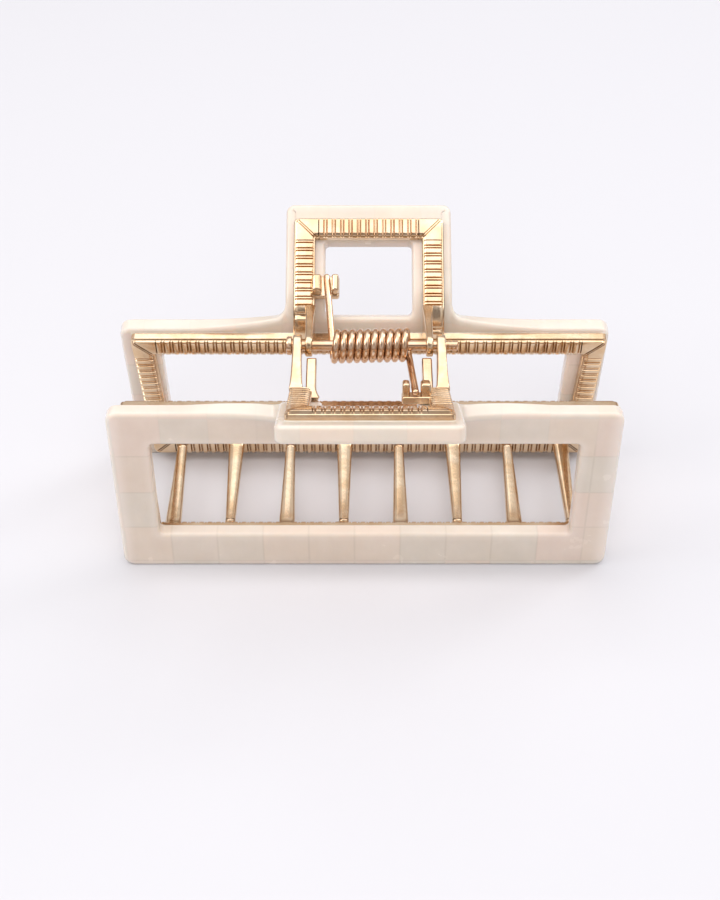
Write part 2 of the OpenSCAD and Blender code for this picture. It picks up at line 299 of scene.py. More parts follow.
def gold_turned():
    """Finish of the pin, smoother than a casting."""
    return plated_gold("gold_plated_pin", chosen("finishes").gold_pin, 0.12, 0.18)


def gold_wire():
    """Finish of the drawn spring wire."""
    return plated_gold("gold_plated_wire", chosen("finishes").gold_wire, 0.12, 0.12)


TILE = 8.65 * mm
# Where the grid of tiles starts, and how far off the tint's draw is from the tone's, both in tiles
GRID_START = (0.22, 0.85, 0.0)
TINT_APART = (17.0, 5.0, 0.0)
PALE_CLOUD, DARK_SILK = (0.92, 0.84, 0.75), (0.62, 0.54, 0.46)
# The edge tone is a painted glow, laid on the sheet's rounded rim and on its ends
SEAM_TONE, PAINTED_GLOW_TONE = (0.46, 0.39, 0.30), (0.93, 0.88, 0.84)
# The plate's ends, painted paler as a painted glow, and the height over which the heat of bending fades
# the seams
PAINTED_END_GLOW = 3.2 * mm
HEAT_SCALE = 40.0 * mm


def pearl_tiles(g, sheet):
    """Of the inlaid tiles: a draw for the tone, a draw for the tint, and the seams between them."""
    tiled = g.vector("DIVIDE", sheet, (TILE, TILE, 1.0))
    shifted = g.vector("ADD", tiled, GRID_START)
    cell, within = g.vector("FLOOR", shifted), g.vector("FRACTION", shifted)
    seam_x, seam_y = (g.math("ABSOLUTE", g.axis(within, i) - 0.5) for i in (0, 1))
    seam = g.rise(g.math("MAXIMUM", seam_x, seam_y), 0.465, 0.495)
    return g.chance(cell), g.chance(g.vector("ADD", cell, TINT_APART)), seam


def pearl_sheet():
    """Milky pearl acetate: a grid of inlaid tiles that shift in tone, under a clear polished face; its rim
    and ends are painted paler as a painted glow.
    """
    finish = chosen("finishes")
    material, g = new_material("pearl_acetate")
    sheet = g.node("Attribute", {"attribute_name": "sheet_place"}, None, 1)
    # The rim share marks where the painted glow lies along the edges
    rim = g.node("Attribute", {"attribute_name": "rim"}, None, 2)
    half = chosen("cover").width / 2
    ends = g.rise(g.math("ABSOLUTE", g.axis(sheet, 0)) / half, 1 - PAINTED_END_GLOW / half, 1.0)
    heated = g.rise(g.axis(sheet, 1) / HEAT_SCALE, 0.70, 0.78)
    tone, tint, seam = pearl_tiles(g, sheet)
    cloud = g.noise(g.place(), 150.0, 4.0, 0.55)
    silk = g.noise(g.vector("MULTIPLY", sheet, (1.0, 0.25, 1.0)), 700.0, 3.0, 0.6)
    milky = g.rise(cloud, 0.2, 0.9)
    base = g.mix(g.rise(tone, 0.35, 0.65) * 0.8, finish.pearl, finish.pearl_cool)
    base = g.mix(g.rise(tint, 0.4, 1.0) * 0.8, base, finish.pearl_warm)
    base = g.mix(milky * 0.30, base, PALE_CLOUD)
    base = g.mix(g.rise(silk, 0.4, 0.7) * 0.10, base, DARK_SILK)
    base = g.mix(seam * (0.22 - heated * 0.16), base, SEAM_TONE)
    # Painted glow: the rounded rim and the plate's ends are painted paler
    base = g.mix(g.math("MAXIMUM", rim * 0.3, ends) * 0.45, base, PAINTED_GLOW_TONE)
    g.surface({
        "Base Color": base, "Roughness": milky * 0.10 + 0.20, "Normal": g.bump(cloud, 0.15, 0.1 * mm),
        "IOR": 1.49, "Subsurface Weight": 0.35, "Subsurface Radius": (1.0, 0.75, 0.55),
        "Subsurface Scale": 2.0 * mm, "Coat Weight": 0.35, "Coat Roughness": 0.06,
    })
    return material


def clear_glue():
    """The clear film that shows as a thin glossy line beside the castings."""
    material, g = new_material("clear_adhesive")
    runs = g.noise(g.place(), 420.0, 3.0)
    tone = chosen("finishes").glue
    base = g.mix(g.rise(runs, 0.35, 0.7), tone, (0.80, 0.74, 0.62))
    g.surface({"Base Color": base, "Roughness": runs * 0.2 + 0.05, "Coat Weight": 0.6,
               "Normal": g.bump(runs, 0.3, 0.05 * mm)})
    return material


def matt_floor():
    """A pale matt table top with very slight tone."""
    material, g = new_material("pale_floor")
    tone = chosen("finishes").floor
    darker = tuple(c * 0.985 for c in tone)
    base = g.mix(g.noise(g.place(), 6.0, 2.0), tone, darker)
    g.surface({"Base Color": base, "Roughness": 0.75, "Specular IOR Level": 0.2})
    return material


# ---- shapes

class BentPath:
    """The sheet seen from the side: a leaning plate, a bend outwards and a handle.

    A point of it is x across, t up the plate and out along the handle, and d deep behind the outer face.
    """

    def __init__(self, radius):
        cover = chosen("cover")
        self.foot_y = cover.foot_y
        self.lean = atan((cover.foot_y - cover.top_y) / cover.top_z)
        self.bend = cover.handle_lean + self.lean
        self.radius = radius
        self.run = radius * tan(self.bend / 2)
        self.corner_t = cover.top_z / cos(self.lean)
        self.start = self.corner_t - self.run
        self.end = self.start + radius * self.bend

    def handle_t(self, s):
        """The path length at distance s along the handle from the bend's corner."""
        return self.end + s - self.run

    def place(self, x, t, d, late=0.0):
        """The point in the front jaw's frame; late puts off the start of the bend."""
        start = self.start + late
        flat = min(t, start)
        angle = -self.lean
        y = -self.foot_y + flat * sin(self.lean)
        z = flat * cos(self.lean)
        if t > start:
            turned = angle + (min(t, self.end + late) - start) / self.radius
            y += self.radius * (cos(turned) - cos(angle))
            z += self.radius * (sin(turned) - sin(angle))
            angle = turned
            beyond = max(t - self.end - late, 0.0)
            y -= beyond * sin(angle)
            z += beyond * cos(angle)
        return Vector((x, y + d * cos(angle), z + d * sin(angle)))


def casting_path():
    """The path that the castings follow."""
    return BentPath(chosen("casting").bend_radius)


def casting_back():
    """Depth of the castings' backs behind the sheet's outer face."""
    return chosen("cover").thickness + chosen("casting").glue_line


def around(angle, radius):
    """The point at an angle on a circle."""
    return radius * Vector((cos(angle), sin(angle)))


def on_jaw(point, side, shift=METAL_SHIFT):
    """A point of the front jaw, put on the jaw that side names."""
    return Vector((side * point[0] + shift, side * point[1], point[2]))


def stepped(first, last, count):
    """Values from first to last in equal steps."""
    return [first + (last - first) * k / count for k in range(count + 1)]


def filleted(corners, steps=6):
    """A closed outline from corners (x, y, radius), each rounded by an arc."""
    points = []
    for i, (x, y, radius) in enumerate(corners):
        here = Vector((x, y))
        back = (Vector(corners[i - 1][:2]) - here).normalized()
        ahead = (Vector(corners[(i + 1) % len(corners)][:2]) - here).normalized()
        if radius <= 0:
            points.append(here)
            continue
        half = back.angle(ahead) / 2
        centre = here + (back + ahead).normalized() * radius / sin(half)
        first = here + back * radius / tan(half) - centre
        last = here + ahead * radius / tan(half) - centre
        turn = atan2(first.x * last.y - first.y * last.x, first.dot(last))
        for a in stepped(0.0, turn, steps):
            points.append(centre + Vector((first.x * cos(a) - first.y * sin(a),
                                           first.x * sin(a) + first.y * cos(a))))
    return points


def inset(points, distance):
    """The outline moved to its left by distance, mitred; a clockwise hole takes the same side."""
    moved = []
    n = len(points)
    for i in range(n):
        before = (points[i] - points[i - 1]).normalized()
        after = (points[(i + 1) % n] - points[i]).normalized()
        left = Vector((-before.y - after.y, before.x + after.x))
        moved.append(points[i] + left * distance / (1 + before.dot(after)))
    return moved


def round_over(low, high, low_radius, high_radius, steps, rim=0.0):
    """Rings (inset, depth, rim share) that round a slab's edge over from one face to the other."""
    rings = [(low_radius + rim, low, 0.0)] if rim else []
    for a in stepped(0.0, pi / 2, steps):
        rings.append((low_radius * (1 - sin(a)), low + low_radius * (1 - cos(a)), 1.0))
    for a in stepped(0.0, pi / 2, steps):
        rings.append((high_radius * (1 - cos(a)), high - high_radius * (1 - sin(a)), 1.0))
    if rim:
        rings.append((high_radius + rim, high, 0.0))
    return rings


def band(bm, low, high):
    """Faces between two closed rings of points."""
    n = len(low)
    for i in range(n):
        bm.faces.new((low[i], low[(i + 1) % n], high[(i + 1) % n], high[i]))


def slab(loops, rings):
    """A flat solid from an outline and its holes; the rings are round_over's. Holes run clockwise."""
    bm = bmesh.new()
    share = bm.verts.layers.float.new("rim")
    caps = [[], []]
    for loop in loops:
        made = []
        for distance, depth, rim in rings:
            ring = [bm.verts.new((p.x, p.y, depth)) for p in inset(loop, distance)]
            for v in ring:
                v[share] = rim
            made.append(ring)
        for low, high in zip(made, made[1:]):
            band(bm, low, high)
        for cap, ring in zip(caps, (made[0], made[-1])):
            cap.extend(bm.edges.get(pair) for pair in zip(ring, ring[1:] + ring[:1]))
    for cap in caps:
        bmesh.ops.triangle_fill(bm, use_beauty=True, edges=cap)
    bmesh.ops.recalc_face_normals(bm, faces=bm.faces)
    return bm


def cut_across(bm, axis, places):
    """Cuts the mesh's faces along planes across one axis, so that it can bend there."""
    normal = Vector([float(i == axis) for i in range(3)])
    for place in places:
        geometry = list(bm.verts) + list(bm.edges) + list(bm.faces)
        bmesh.ops.bisect_plane(bm, geom=geometry, plane_co=normal * place, plane_no=normal, dist=1e-7)


def skin(rings, closed):
    """Joins rings of points one to the next; an open row gets a face at each end."""
    bm = bmesh.new()
    rows = [[bm.verts.new(p) for p in ring] for ring in rings]
    onward = rows[1:] + rows[:1] if closed else rows[1:]
    for low, high in zip(rows, onward):
        band(bm, low, high)
    if not closed:
        bm.faces.new(rows[0])
        bm.faces.new(rows[-1])
    bmesh.ops.recalc_face_normals(bm, faces=bm.faces)
    return bm


def made_mesh(name, bm):
    """The finished mesh of a shape."""
    mesh = bpy.data.meshes.new(name)
    bm.to_mesh(mesh)
    bm.free()
    return mesh


def new_object(name, data):
    """An object in the scene."""
    made = bpy.data.objects.new(name, data)
    bpy.context.scene.collection.objects.link(made)
    return made


def merged(parts):
    """Several meshes as one, each a separate solid."""
    whole = bmesh.new()
    for part in parts:
        mesh = made_mesh("part", part)
        whole.from_mesh(mesh)
        bpy.data.meshes.remove(mesh)
    return whole


def finish_piece(name, bm, material, sharp=40.0):
    """Turns a mesh into a smooth-shaded piece with its material."""
    bmesh.ops.recalc_face_normals(bm, faces=bm.faces)
    mesh = made_mesh(name, bm)
    mesh.shade_smooth()
    mesh.set_sharp_from_angle(angle=radians(sharp))
    mesh.materials.append(material)
    piece = new_object(name, mesh)
    weighted = piece.modifiers.new("weighted normals", "WEIGHTED_NORMAL")
    weighted.keep_sharp = True
    return piece


def add_jaw_piece(jaw, part, node, bm, material, sharp=40.0):
    """Adds a piece that stands for one CAD node and rides on its jaw."""
    piece = finish_piece(f"{jaw}_{part}", bm, material, sharp)
    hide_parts(f"{jaw}_{node}")
    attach(piece, f"{jaw}_jaw")
    return piece


# ---- covers

def cover_outline(path, shift):
    """The sheet's outline before it is bent: a plate, with a handle standing on it."""
    cover = chosen("cover")
    half = cover.width / 2
    hand = cover.handle_width / 2
    tip = path.handle_t(cover.handle_length)
    top = path.corner_t
    return filleted([
        (-half, 0.0, cover.corner), (half, 0.0, cover.corner), (half, top, cover.corner),
        (shift + hand, top, cover.handle_root), (shift + hand, tip, cover.handle_corner),
        (shift - hand, tip, cover.handle_corner), (shift - hand, top, cover.handle_root),
        (-half, top, cover.corner),
    ])


def window_outline(x0, x1, t0, t1, radius):
    """A window's outline, run clockwise as a hole."""
    return filleted([(x0, t0, radius), (x0, t1, radius), (x1, t1, radius), (x1, t0, radius)])


# Cuts that let the sheet bend: round the bend and along each wing, and how far they pass the bend
BEND_CUTS, WING_CUTS = 22, 14
CUT_MARGIN = 0.4 * mm
# Width of the paler rim along the sheet's edges, a painted glow
PAINTED_RIM_GLOW = 1.1 * mm
# How the bend dies out along the wings: below 1, it does so sooner
WING_FADE = 0.8


def cover_mesh(side):
    """One cover: cut out flat with rounded edges, then bent over its whole top border."""
    cover = chosen("cover")
    path = BentPath(cover.bend_radius)
    shift = side * cover.handle_shift
    half = cover.width / 2
    hand = cover.handle_width / 2
    window = cover.handle_window_width / 2
    main = window_outline(-half + cover.window_side, half - cover.window_side, cover.window_bottom,
                          path.corner_t - cover.window_top, cover.window_corner)
    small = window_outline(shift - window, shift + window, path.handle_t(cover.handle_window_start),
                           path.handle_t(cover.handle_window_end), cover.window_corner)
    rings = round_over(0.0, cover.thickness, cover.edge, cover.edge, 4, PAINTED_RIM_GLOW)
    bm = slab([cover_outline(path, shift), main, small], rings)
    first, last = path.start - CUT_MARGIN, path.end + CUT_MARGIN
    cut_across(bm, 1, stepped(first, last, BEND_CUTS))
    reach = cover.wing_reach - hand
    for wing in (-1, 1):
        cut_across(bm, 0, [shift + wing * x for x in stepped(hand, hand + reach, WING_CUTS)])
    place = bm.verts.layers.float_vector.new("sheet_place")
    for v in bm.verts:
        x, t, d = v.co
        v[place] = (x, t, d)
        away = min(max(abs(x - shift) - hand, 0.0) / reach, 1.0)
        late = path.run * away ** WING_FADE
        v.co = on_jaw(path.place(x, t, d, late), side, 0.0)
        v.co.z = max(v.co.z, 0.0)
    return bm


# ---- castings

# One rib period: shares of the pitch and shares of the rib height, a wide block and a thin strip
RIB_SHAPE = [
    (0.00, 0.0), (0.045, 0.62), (0.10, 0.94), (0.33, 1.0), (0.56, 0.94), (0.615, 0.62), (0.66, 0.0),
    (0.70, 0.0), (0.735, 0.55), (0.78, 0.86), (0.90, 0.86), (0.945, 0.55), (0.98, 0.0),
]
# The mitre at a corner, from its middle outwards: distance and share of the rib height
MITRE_SHAPE = [(0.13 * mm, 0.95), (0.20 * mm, 0.2), (0.34 * mm, 0.2), (0.44 * mm, 0.9), (0.62 * mm, 0.9),
               (0.85 * mm, 0.9)]
# Radius of a frame's outer corners
MITRE_ROUND = 0.9 * mm
# The plain plate at a corner: share of the rib height, its length and the gap before the ribs
PLATE_SHARE = 0.9
CORNER_PLATE = 0.6 * mm
PLATE_GAP = 0.05 * mm
# How far the ledge along a bar's sides lies below its grooves
LEDGE_DROP = 0.18 * mm


def bar_section(share, thickness):
    """Cross-section of a bar: (distance from its inner edge, height off its back)."""
    casting = chosen("casting")
    w = casting.bar_width
    floor = thickness - casting.rib_height
    top = floor + casting.rib_height * share
    ledge = floor - LEDGE_DROP
    edge, bevel, crown = 0.34 * mm, 0.12 * mm, 0.05 * mm
    draft, shoulder = 0.06 * mm, 0.14 * mm
    half = [(0.0, 0.0), (0.0, ledge - bevel), (bevel, ledge), (edge - draft, ledge),
            (edge, top - bevel), (edge + shoulder, top), (w / 4, top + crown * share * 0.7)]
    mirrored = [(w - a, h) for a, h in reversed(half)]
    return half + [(w / 2, top + crown * share)] + mirrored


def bar_stations(bar_length, pitch):
    """Stations along a bar: the mitre's at each end and the ribs', as (distance, share of rib height)."""
    ribbed = bar_length - 2 * CORNER_PLATE
    count = round(ribbed / pitch)
    step = ribbed / count
    ribs = [(CORNER_PLATE - PLATE_GAP, PLATE_SHARE)]
    for i in range(count):
        ribs += [(CORNER_PLATE + (i + share) * step, height) for share, height in RIB_SHAPE]
    ribs.append((bar_length - CORNER_PLATE + PLATE_GAP, PLATE_SHARE))
    far = [(-offset, share) for offset, share in reversed(MITRE_SHAPE)]
    return MITRE_SHAPE, ribs, far


def mitred(corner_in, corner_out, along, offset, height):
    """A station beside a mitre, its outer end drawn in to the corner's arc."""
    width = chosen("casting").bar_width
    gap = MITRE_ROUND - min(abs(offset), MITRE_ROUND)
    span = gap + MITRE_ROUND
    drawn_in = (span - sqrt(span * span - 2 * gap * gap)) / 2
    start = corner_in + along * offset
    return start, start + (corner_out - corner_in) * (1 - drawn_in / width), height


def casting_rings(inner, outer, closed, thickness):
    """Cross-sections round a frame whose corners are given on its inner and outer edges."""
    casting = chosen("casting")
    count = len(inner)
    rings = []
    for i in range(count if closed else count - 1):
        start_in, start_out = inner[i], outer[i]
        end_in, end_out = inner[(i + 1) % count], outer[(i + 1) % count]
        along = (end_in - start_in).normalized()
        outward = Vector((along.y, -along.x)) * casting.bar_width
        near, ribs, far = bar_stations((end_in - start_in).length, casting.rib_pitch)
        stations = [(start_in + along * s, start_in + along * s + outward, h) for s, h in ribs]
        if closed or i > 0:
            near = [(0.0, 1.0)] + near
            stations = [mitred(start_in, start_out, along, o, h) for o, h in near] + stations
        if closed or i < count - 2:
            stations += [mitred(end_in, end_out, along, o, h) for o, h in far]
        for near_edge, far_edge, height in stations:
            across = (far_edge - near_edge) / casting.bar_width
            rings.append([(near_edge + across * a, h) for a, h in bar_section(height, thickness)])
    return rings


def casting_mesh(inner, outer, closed, side, thickness):
    """A ribbed casting on the inner face of the cover, bent as the cover is."""
    path, back = casting_path(), casting_back()
    placed = [[on_jaw(path.place(p.x, p.y, back + h), side) for p, h in ring]
              for ring in casting_rings(inner, outer, closed, thickness)]
    return skin(placed, closed)


def jaw_frame_mesh(side):
    """The rectangular frame, a little narrower at the bottom, its bottom corners rounded."""
    casting = chosen("casting")
    start = casting_path().start
    top, bottom = casting.top_width / 2, casting.bottom_width / 2
    outer = [Vector(p) for p in ((-bottom, casting.bottom), (bottom, casting.bottom),
                                 (top, start), (-top, start))]
    inner = inset(outer, casting.bar_width)
    return casting_mesh(inner, outer, True, side, casting.frame_thickness)


def handle_frame_mesh(side):
    """The U on the handle, from the frame's top bar round the bend and back."""
    casting = chosen("casting")
    path = casting_path()
    foot = path.start - CORNER_PLATE - 2 * PLATE_GAP
    half, tip = casting.handle_width / 2, path.handle_t(casting.handle_length)
    narrow, low = half - casting.bar_width, tip - casting.bar_width
    outer, inner = ([Vector(p) for p in ((x, foot), (x, t), (-x, t), (-x, foot))]
                    for x, t in ((half, tip), (narrow, low)))
    return casting_mesh(inner, outer, False, side, casting.bar_thickness)


# ---- lugs, teeth and forks

def lug_outline(depth, face, radius):
    """A lug from the side: its root sunk along the bend, then straight sides to the round eye."""
    path = casting_path()
    spots = [(path.start, face)] + [(t, depth) for t in stepped(path.start, path.end, 8)]
    spots.append((path.end, face))
    root = [path.place(0.0, t, d).yz for t, d in spots]
    low, high = root[0] - HINGE.yz, root[-1] - HINGE.yz
    a_low = atan2(low.y, low.x) + acos(radius / low.length)
    a_high = (atan2(high.y, high.x) - acos(radius / high.length)) % tau
    arc = [HINGE.yz + around(a, radius) for a in stepped(a_high, a_low, 18)]
    return list(reversed(root + arc))


def circle_hole(centre, radius, count):
    """A round hole's outline, run clockwise."""
    return [centre + around(-tau * k / count, radius) for k in range(count)]


# Each jaw's lug: inner face of its eye and the eye's thickness, then inner and outer spread at the root
FRONT_LUG = (12.1 * mm, 1.6 * mm, -0.5 * mm, 0.45 * mm)
REAR_LUG = (10.2 * mm, 1.3 * mm, -0.4 * mm, 0.4 * mm)
# The foot of a front lug: its two sides, and how far its end lies from the pin
FRONT_FOOT = (9.4 * mm, 11.2 * mm, -2.6 * mm)
BORE_PLAY = 0.06 * mm
LUG_EDGE = 0.32 * mm
LUG_SUNK = 0.25 * mm
# Where a lug starts to spread and over what length, and the cuts that let it: first, last and steps
SPREAD_FROM, SPREAD_RUN = 2.0 * mm, 9.5 * mm
LUG_CUTS = (-1.5 * mm, -10.3 * mm, 8)


def lug_mesh(inner_x, eye_t, root_inner, root_outer, side, sign):
    """A lug whose inner and outer faces spread from the eye to the root."""
    hinge = chosen("hinge")
    casting = chosen("casting")
    face = casting_back() + casting.bar_thickness
    outline = lug_outline(face - casting.rib_height - LUG_SUNK, face, hinge.lug_radius)
    bore = circle_hole(HINGE.yz, hinge.pin_diameter / 2 + BORE_PLAY, 28)
    bm = slab([outline, bore], round_over(-1.0, 1.0, LUG_EDGE, LUG_EDGE, 3))
    cut_across(bm, 0, stepped(*LUG_CUTS))
    for v in bm.verts:
        y, z, level = v.co
        spread = min(max((-y - SPREAD_FROM) / SPREAD_RUN, 0.0), 1.0)
        middle = inner_x + eye_t / 2 + (root_outer + root_inner) / 2 * spread ** 1.5
        half = eye_t / 2 + (root_outer - root_inner) / 2 * (0.45 * spread + 0.55 * spread ** 4)
        edge_level = 1.0 - abs(level) if abs(level) > 0.5 else 0.5
        height = copysign(half - min(edge_level, LUG_EDGE), level)
        v.co = on_jaw(Vector((sign * (middle + height), y, z)), side)
    return bm


def foot_mesh(x0, x1, y_end, side, sign):
    """The thicker foot inboard of a front lug, its near end rounded down."""
    path = casting_path()
    root = casting_back() + 0.1 * mm
    low = path.place(0.0, path.start - 0.5 * mm, root)
    high = path.place(0.0, path.end + 0.6 * mm, root)
    knee, edge = 0.7 * mm, 0.3 * mm
    flare, flare_run = 0.9 * mm, 3.0 * mm
    outline = filleted([(low.y, low.z, 0.0), (y_end, HINGE.z - 2.3 * mm, knee),
                        (y_end, HINGE.z - 0.2 * mm, knee), (high.y, high.z, 0.0)])
    bm = slab([outline], round_over(x0, x1, edge, edge, 3))
    cut_across(bm, 0, stepped(high.y, high.y + flare_run, 5)[1:])
    for v in bm.verts:
        y, z, x = v.co
        rooted = max(1 - (y - high.y) / flare_run, 0.0) ** 2
        inner = (x1 - x) / (x1 - x0)
        v.co = on_jaw(Vector((sign * (x - flare * rooted * inner), y, z)), side)
    return bm


def lug_meshes(side):
    """The front jaw's outer lugs with their feet, or the rear jaw's inner lugs."""
    if side == JAWS["rear"]:
        return merged([lug_mesh(*REAR_LUG, side, sign) for sign in (-1, 1)])
    return merged([make(*sizes, side, sign) for sign in (-1, 1)
                   for make, sizes in ((lug_mesh, FRONT_LUG), (foot_mesh, FRONT_FOOT))])


def rounded_section(half_w, half_h, power, count):
    """Points round a soft rectangle; a higher power gives squarer corners."""
    points = []
    for k in range(count):
        a = tau * (k + 0.5) / count
        c, s = cos(a), sin(a)
        points.append((half_w * copysign(abs(c) ** (2 / power), c),
                       half_h * copysign(abs(s) ** (2 / power), s)))
    return points


TEETH = 4
# How a tooth swells where it leaves the bar: sideways, upwards, and over what length
SWELL_WIDE, SWELL_HIGH, SWELL_RUN = 0.22 * mm, 0.3 * mm, 1.4 * mm
TOOTH_SUNK = 1.1 * mm
SQUARE, ROUND = 3.2, 2.0


def tooth_mesh(x, side):
    """A tapered tooth: flared root sunk in the bottom bar, soft-edged shank, round tip."""
    cover = chosen("cover")
    hinge = chosen("hinge")
    lean = casting_path().lean
    face = casting_back() + chosen("casting").bar_thickness
    bar_y = cover.foot_y - hinge.tooth_z * tan(lean) - face / cos(lean)
    half_root, half_tip = hinge.tooth_root / 2, hinge.tooth_tip / 2
    half_height = hinge.tooth_height / 2
    tip_radius = half_tip + 0.1 * mm
    tip_y = bar_y - hinge.tooth_gap - tip_radius
    ball = 8
    rings = []

    def section(y, half_w, half_h, power=SQUARE):
        rings.append([on_jaw(Vector((x + a, y, hinge.tooth_z + b)), side, METAL_SHIFT + TOOTH_SHIFT)
                      for a, b in rounded_section(half_w, half_h, power, 24)])

    section(-bar_y - TOOTH_SUNK, half_root + 0.4 * mm, half_height + 0.35 * mm)
    for share in stepped(0.0, 1.0, 26):
        along = (tip_y + bar_y) * share ** 1.5
        swell = max(1 - along / SWELL_RUN, 0.0) ** 2
        taper = along / (tip_y + bar_y)
        half_w = half_root + (half_tip - half_root) * taper + SWELL_WIDE * swell
        section(along - bar_y, half_w, half_height * (1 - 0.12 * taper) + SWELL_HIGH * swell)
    for k in range(1, ball):
        a = -pi / 2 + pi * (k + 1.6) / (ball + 1.6)
        r = tip_radius * cos(a)
        section(tip_y + 0.3 * mm + tip_radius * sin(a) * 0.7, r, r * 0.95, ROUND)
    return skin(rings, False)


def teeth_mesh(side):
    """One jaw's row of teeth, which pass between the other jaw's."""
    spacing = chosen("hinge").tooth_spacing
    return merged([tooth_mesh((2 * i - TEETH + 0.5) * spacing, side) for i in range(TEETH)])


# The fork in mm: x from and to, distance up the handle from and to, depth from and to, top edge radius
FORK_BLOCKS = [
    (5.5, 10.7, 2.5, 6.6, 3.35, 4.6, 0.3),
    (5.6, 6.9, 2.9, 6.3, 4.4, 6.9, 0.5),
    (8.75, 10.55, 2.9, 6.3, 4.4, 6.9, 0.6),
]
FORK_CORNER, FORK_FOOT_EDGE = 0.45 * mm, 0.05 * mm


def fork_mesh(side):
    """Two posts with domed tops on a base plate, which hold one leg of the spring."""
    path = casting_path()
    parts = []
    for block in FORK_BLOCKS:
        x0, x1, s0, s1, low, high, crown = (n * mm for n in block)
        outline = filleted([(x, s, FORK_CORNER) for x, s in ((x0, s0), (x1, s0), (x1, s1), (x0, s1))])
        bm = slab([outline], round_over(low, high, FORK_FOOT_EDGE, crown, 4))
        for v in bm.verts:
            x, s, d = v.co
            v.co = on_jaw(path.place(x, path.handle_t(s), d), side)
        parts.append(bm)
    return merged(parts)


# ---- pin and spring

def lathe(profile, count):
    """Turns a profile of (x, radius) about the pin's axis; both ends lie on the axis."""
    bm = bmesh.new()
    ends = [bm.verts.new((profile[i][0], HINGE.y, HINGE.z)) for i in (0, -1)]
    rows = []
    for x, r in profile[1:-1]:
        circle = [HINGE.yz + around(tau * k / count, r) for k in range(count)]
        rows.append([bm.verts.new((x, *point)) for point in circle])
    for low, high in zip(rows, rows[1:]):
        band(bm, low, high)
    for i in range(count):
        bm.faces.new((ends[0], rows[0][(i + 1) % count], rows[0][i]))
        bm.faces.new((ends[1], rows[-1][i], rows[-1][(i + 1) % count]))
    return bm


def dome(x, radius, height, direction, steps=5):
    """A rounded end from the rim to the axis, as (x, radius) points."""
    return [(x + direction * height * sin(a), radius * cos(a)) for a in stepped(0.0, pi / 2, steps)[1:]]


# Behind the pin's head: its rim, a small collar, then the shank
HEAD_DOME, HEAD_DEPTH = 0.35 * mm, 1.0 * mm
# The rolled tail: number of soft rings, their length and depth, and the tail's rounded end
RINGS, ROLLED, RING_DEPTH, TAIL_DOME = 3, 2.1 * mm, 0.09 * mm, 0.3 * mm


def pin_mesh():
    """The pin: a domed head with a small collar, a plain shank and a peened tail."""
    radius = chosen("hinge").pin_diameter / 2
    head_radius = (PIN_HIGH.z - PIN_LOW.z) / 2
    head_edge, head_back = PIN_LOW.x + HEAD_DOME, PIN_LOW.x + HEAD_DEPTH
    profile = dome(head_edge, head_radius, HEAD_DOME, -1)[::-1]
    profile += [
        (head_edge + 0.1 * mm, head_radius), (head_back, head_radius),
        (head_back + 0.1 * mm, head_radius * 0.9), (head_back + 0.12 * mm, radius + 0.3 * mm),
        (head_back + 0.35 * mm, radius + 0.25 * mm), (head_back + 0.4 * mm, radius),
    ]
    for share in stepped(0.0, 1.0, 18):
        x = PIN_HIGH.x - 0.35 * mm - ROLLED * (1 - share)
        profile.append((x, radius - RING_DEPTH * (1 - cos(tau * RINGS * share)) / 2))
    profile += dome(PIN_HIGH.x - TAIL_DOME, radius - 0.02 * mm, TAIL_DOME, 1)
    return lathe(profile, 40)


# The coil hangs loose on the pin, a little askew (rise per length) and to one side
COIL_TILT = 0.03
COIL_SHIFT = 0.35 * mm
# Where a spring leg ends: across, up the handle, and the fork's base under it
LEG_X, LEG_S, LEG_BASE = 7.825 * mm, 6.1 * mm, 4.6 * mm


def spring_path(steps=40):
    """The wire's middle line: leg, coil, leg. Both legs leave the bottom of the coil."""
    hinge = chosen("hinge")
    path = casting_path()
    r = hinge.coil_diameter / 2
    leg_end = path.place(LEG_X, path.handle_t(LEG_S), LEG_BASE + hinge.wire_diameter / 2 + 0.08 * mm)
    reach = Vector((leg_end.y, leg_end.z - HINGE.z))
    rise = atan2(reach.y, -reach.x) + asin(r / reach.length)
    turns = hinge.coil_turns
    half = turns * hinge.coil_pitch / 2
    coil = []
    for a in stepped(-rise, tau * turns + rise, turns * steps):
        x = -half + hinge.coil_pitch * a / tau
        z = HINGE.z - r * cos(a) + COIL_TILT * x
        coil.append(Vector((x + COIL_SHIFT, -r * sin(a), z)))
    rear_end = Vector((-LEG_X, -leg_end.y, leg_end.z))
    shares = stepped(0.0, 1.0, 24)
    rear_leg = [rear_end.lerp(coil[0], share) for share in shares[:-1]]
    front_leg = [coil[-1].lerp(leg_end, share) for share in shares[1:]]
    shift = Vector((METAL_SHIFT, 0.0, 0.0))
    return [p + shift for p in rear_leg + coil + front_leg], half


def wire_mesh(points, radius, sides=18):
    """A round wire along the points with rounded ends."""
    tangents = [(ahead - behind).normalized()
                for ahead, behind in zip(points[1:] + points[-1:], points[:1] + points[:-1])]
    rings = []

    def ring(centre, tangent, r):
        side = (Vector((1, 0, 0)) - tangent * tangent.x).normalized()
        up = tangent.cross(side)
        circle = [around(tau * k / sides, r) for k in range(sides)]
        rings.append([centre + side * c.x + up * c.y for c in circle])

    cap = [pi / 2 * (k + 0.4) / 5 for k in range(5)]
    for a in cap:
        ring(points[0] - tangents[0] * radius * cos(a), tangents[0], radius * sin(a))
    for centre, tangent in zip(points, tangents):
        ring(centre, tangent, radius)
    for a in reversed(cap):
        ring(points[-1] + tangents[-1] * radius * cos(a), tangents[-1], radius * sin(a))
    return skin(rings, False)


# ---- operators

class ClipOperator:
    """What the clip's operators share."""
    bl_options = {"REGISTER", "UNDO"}


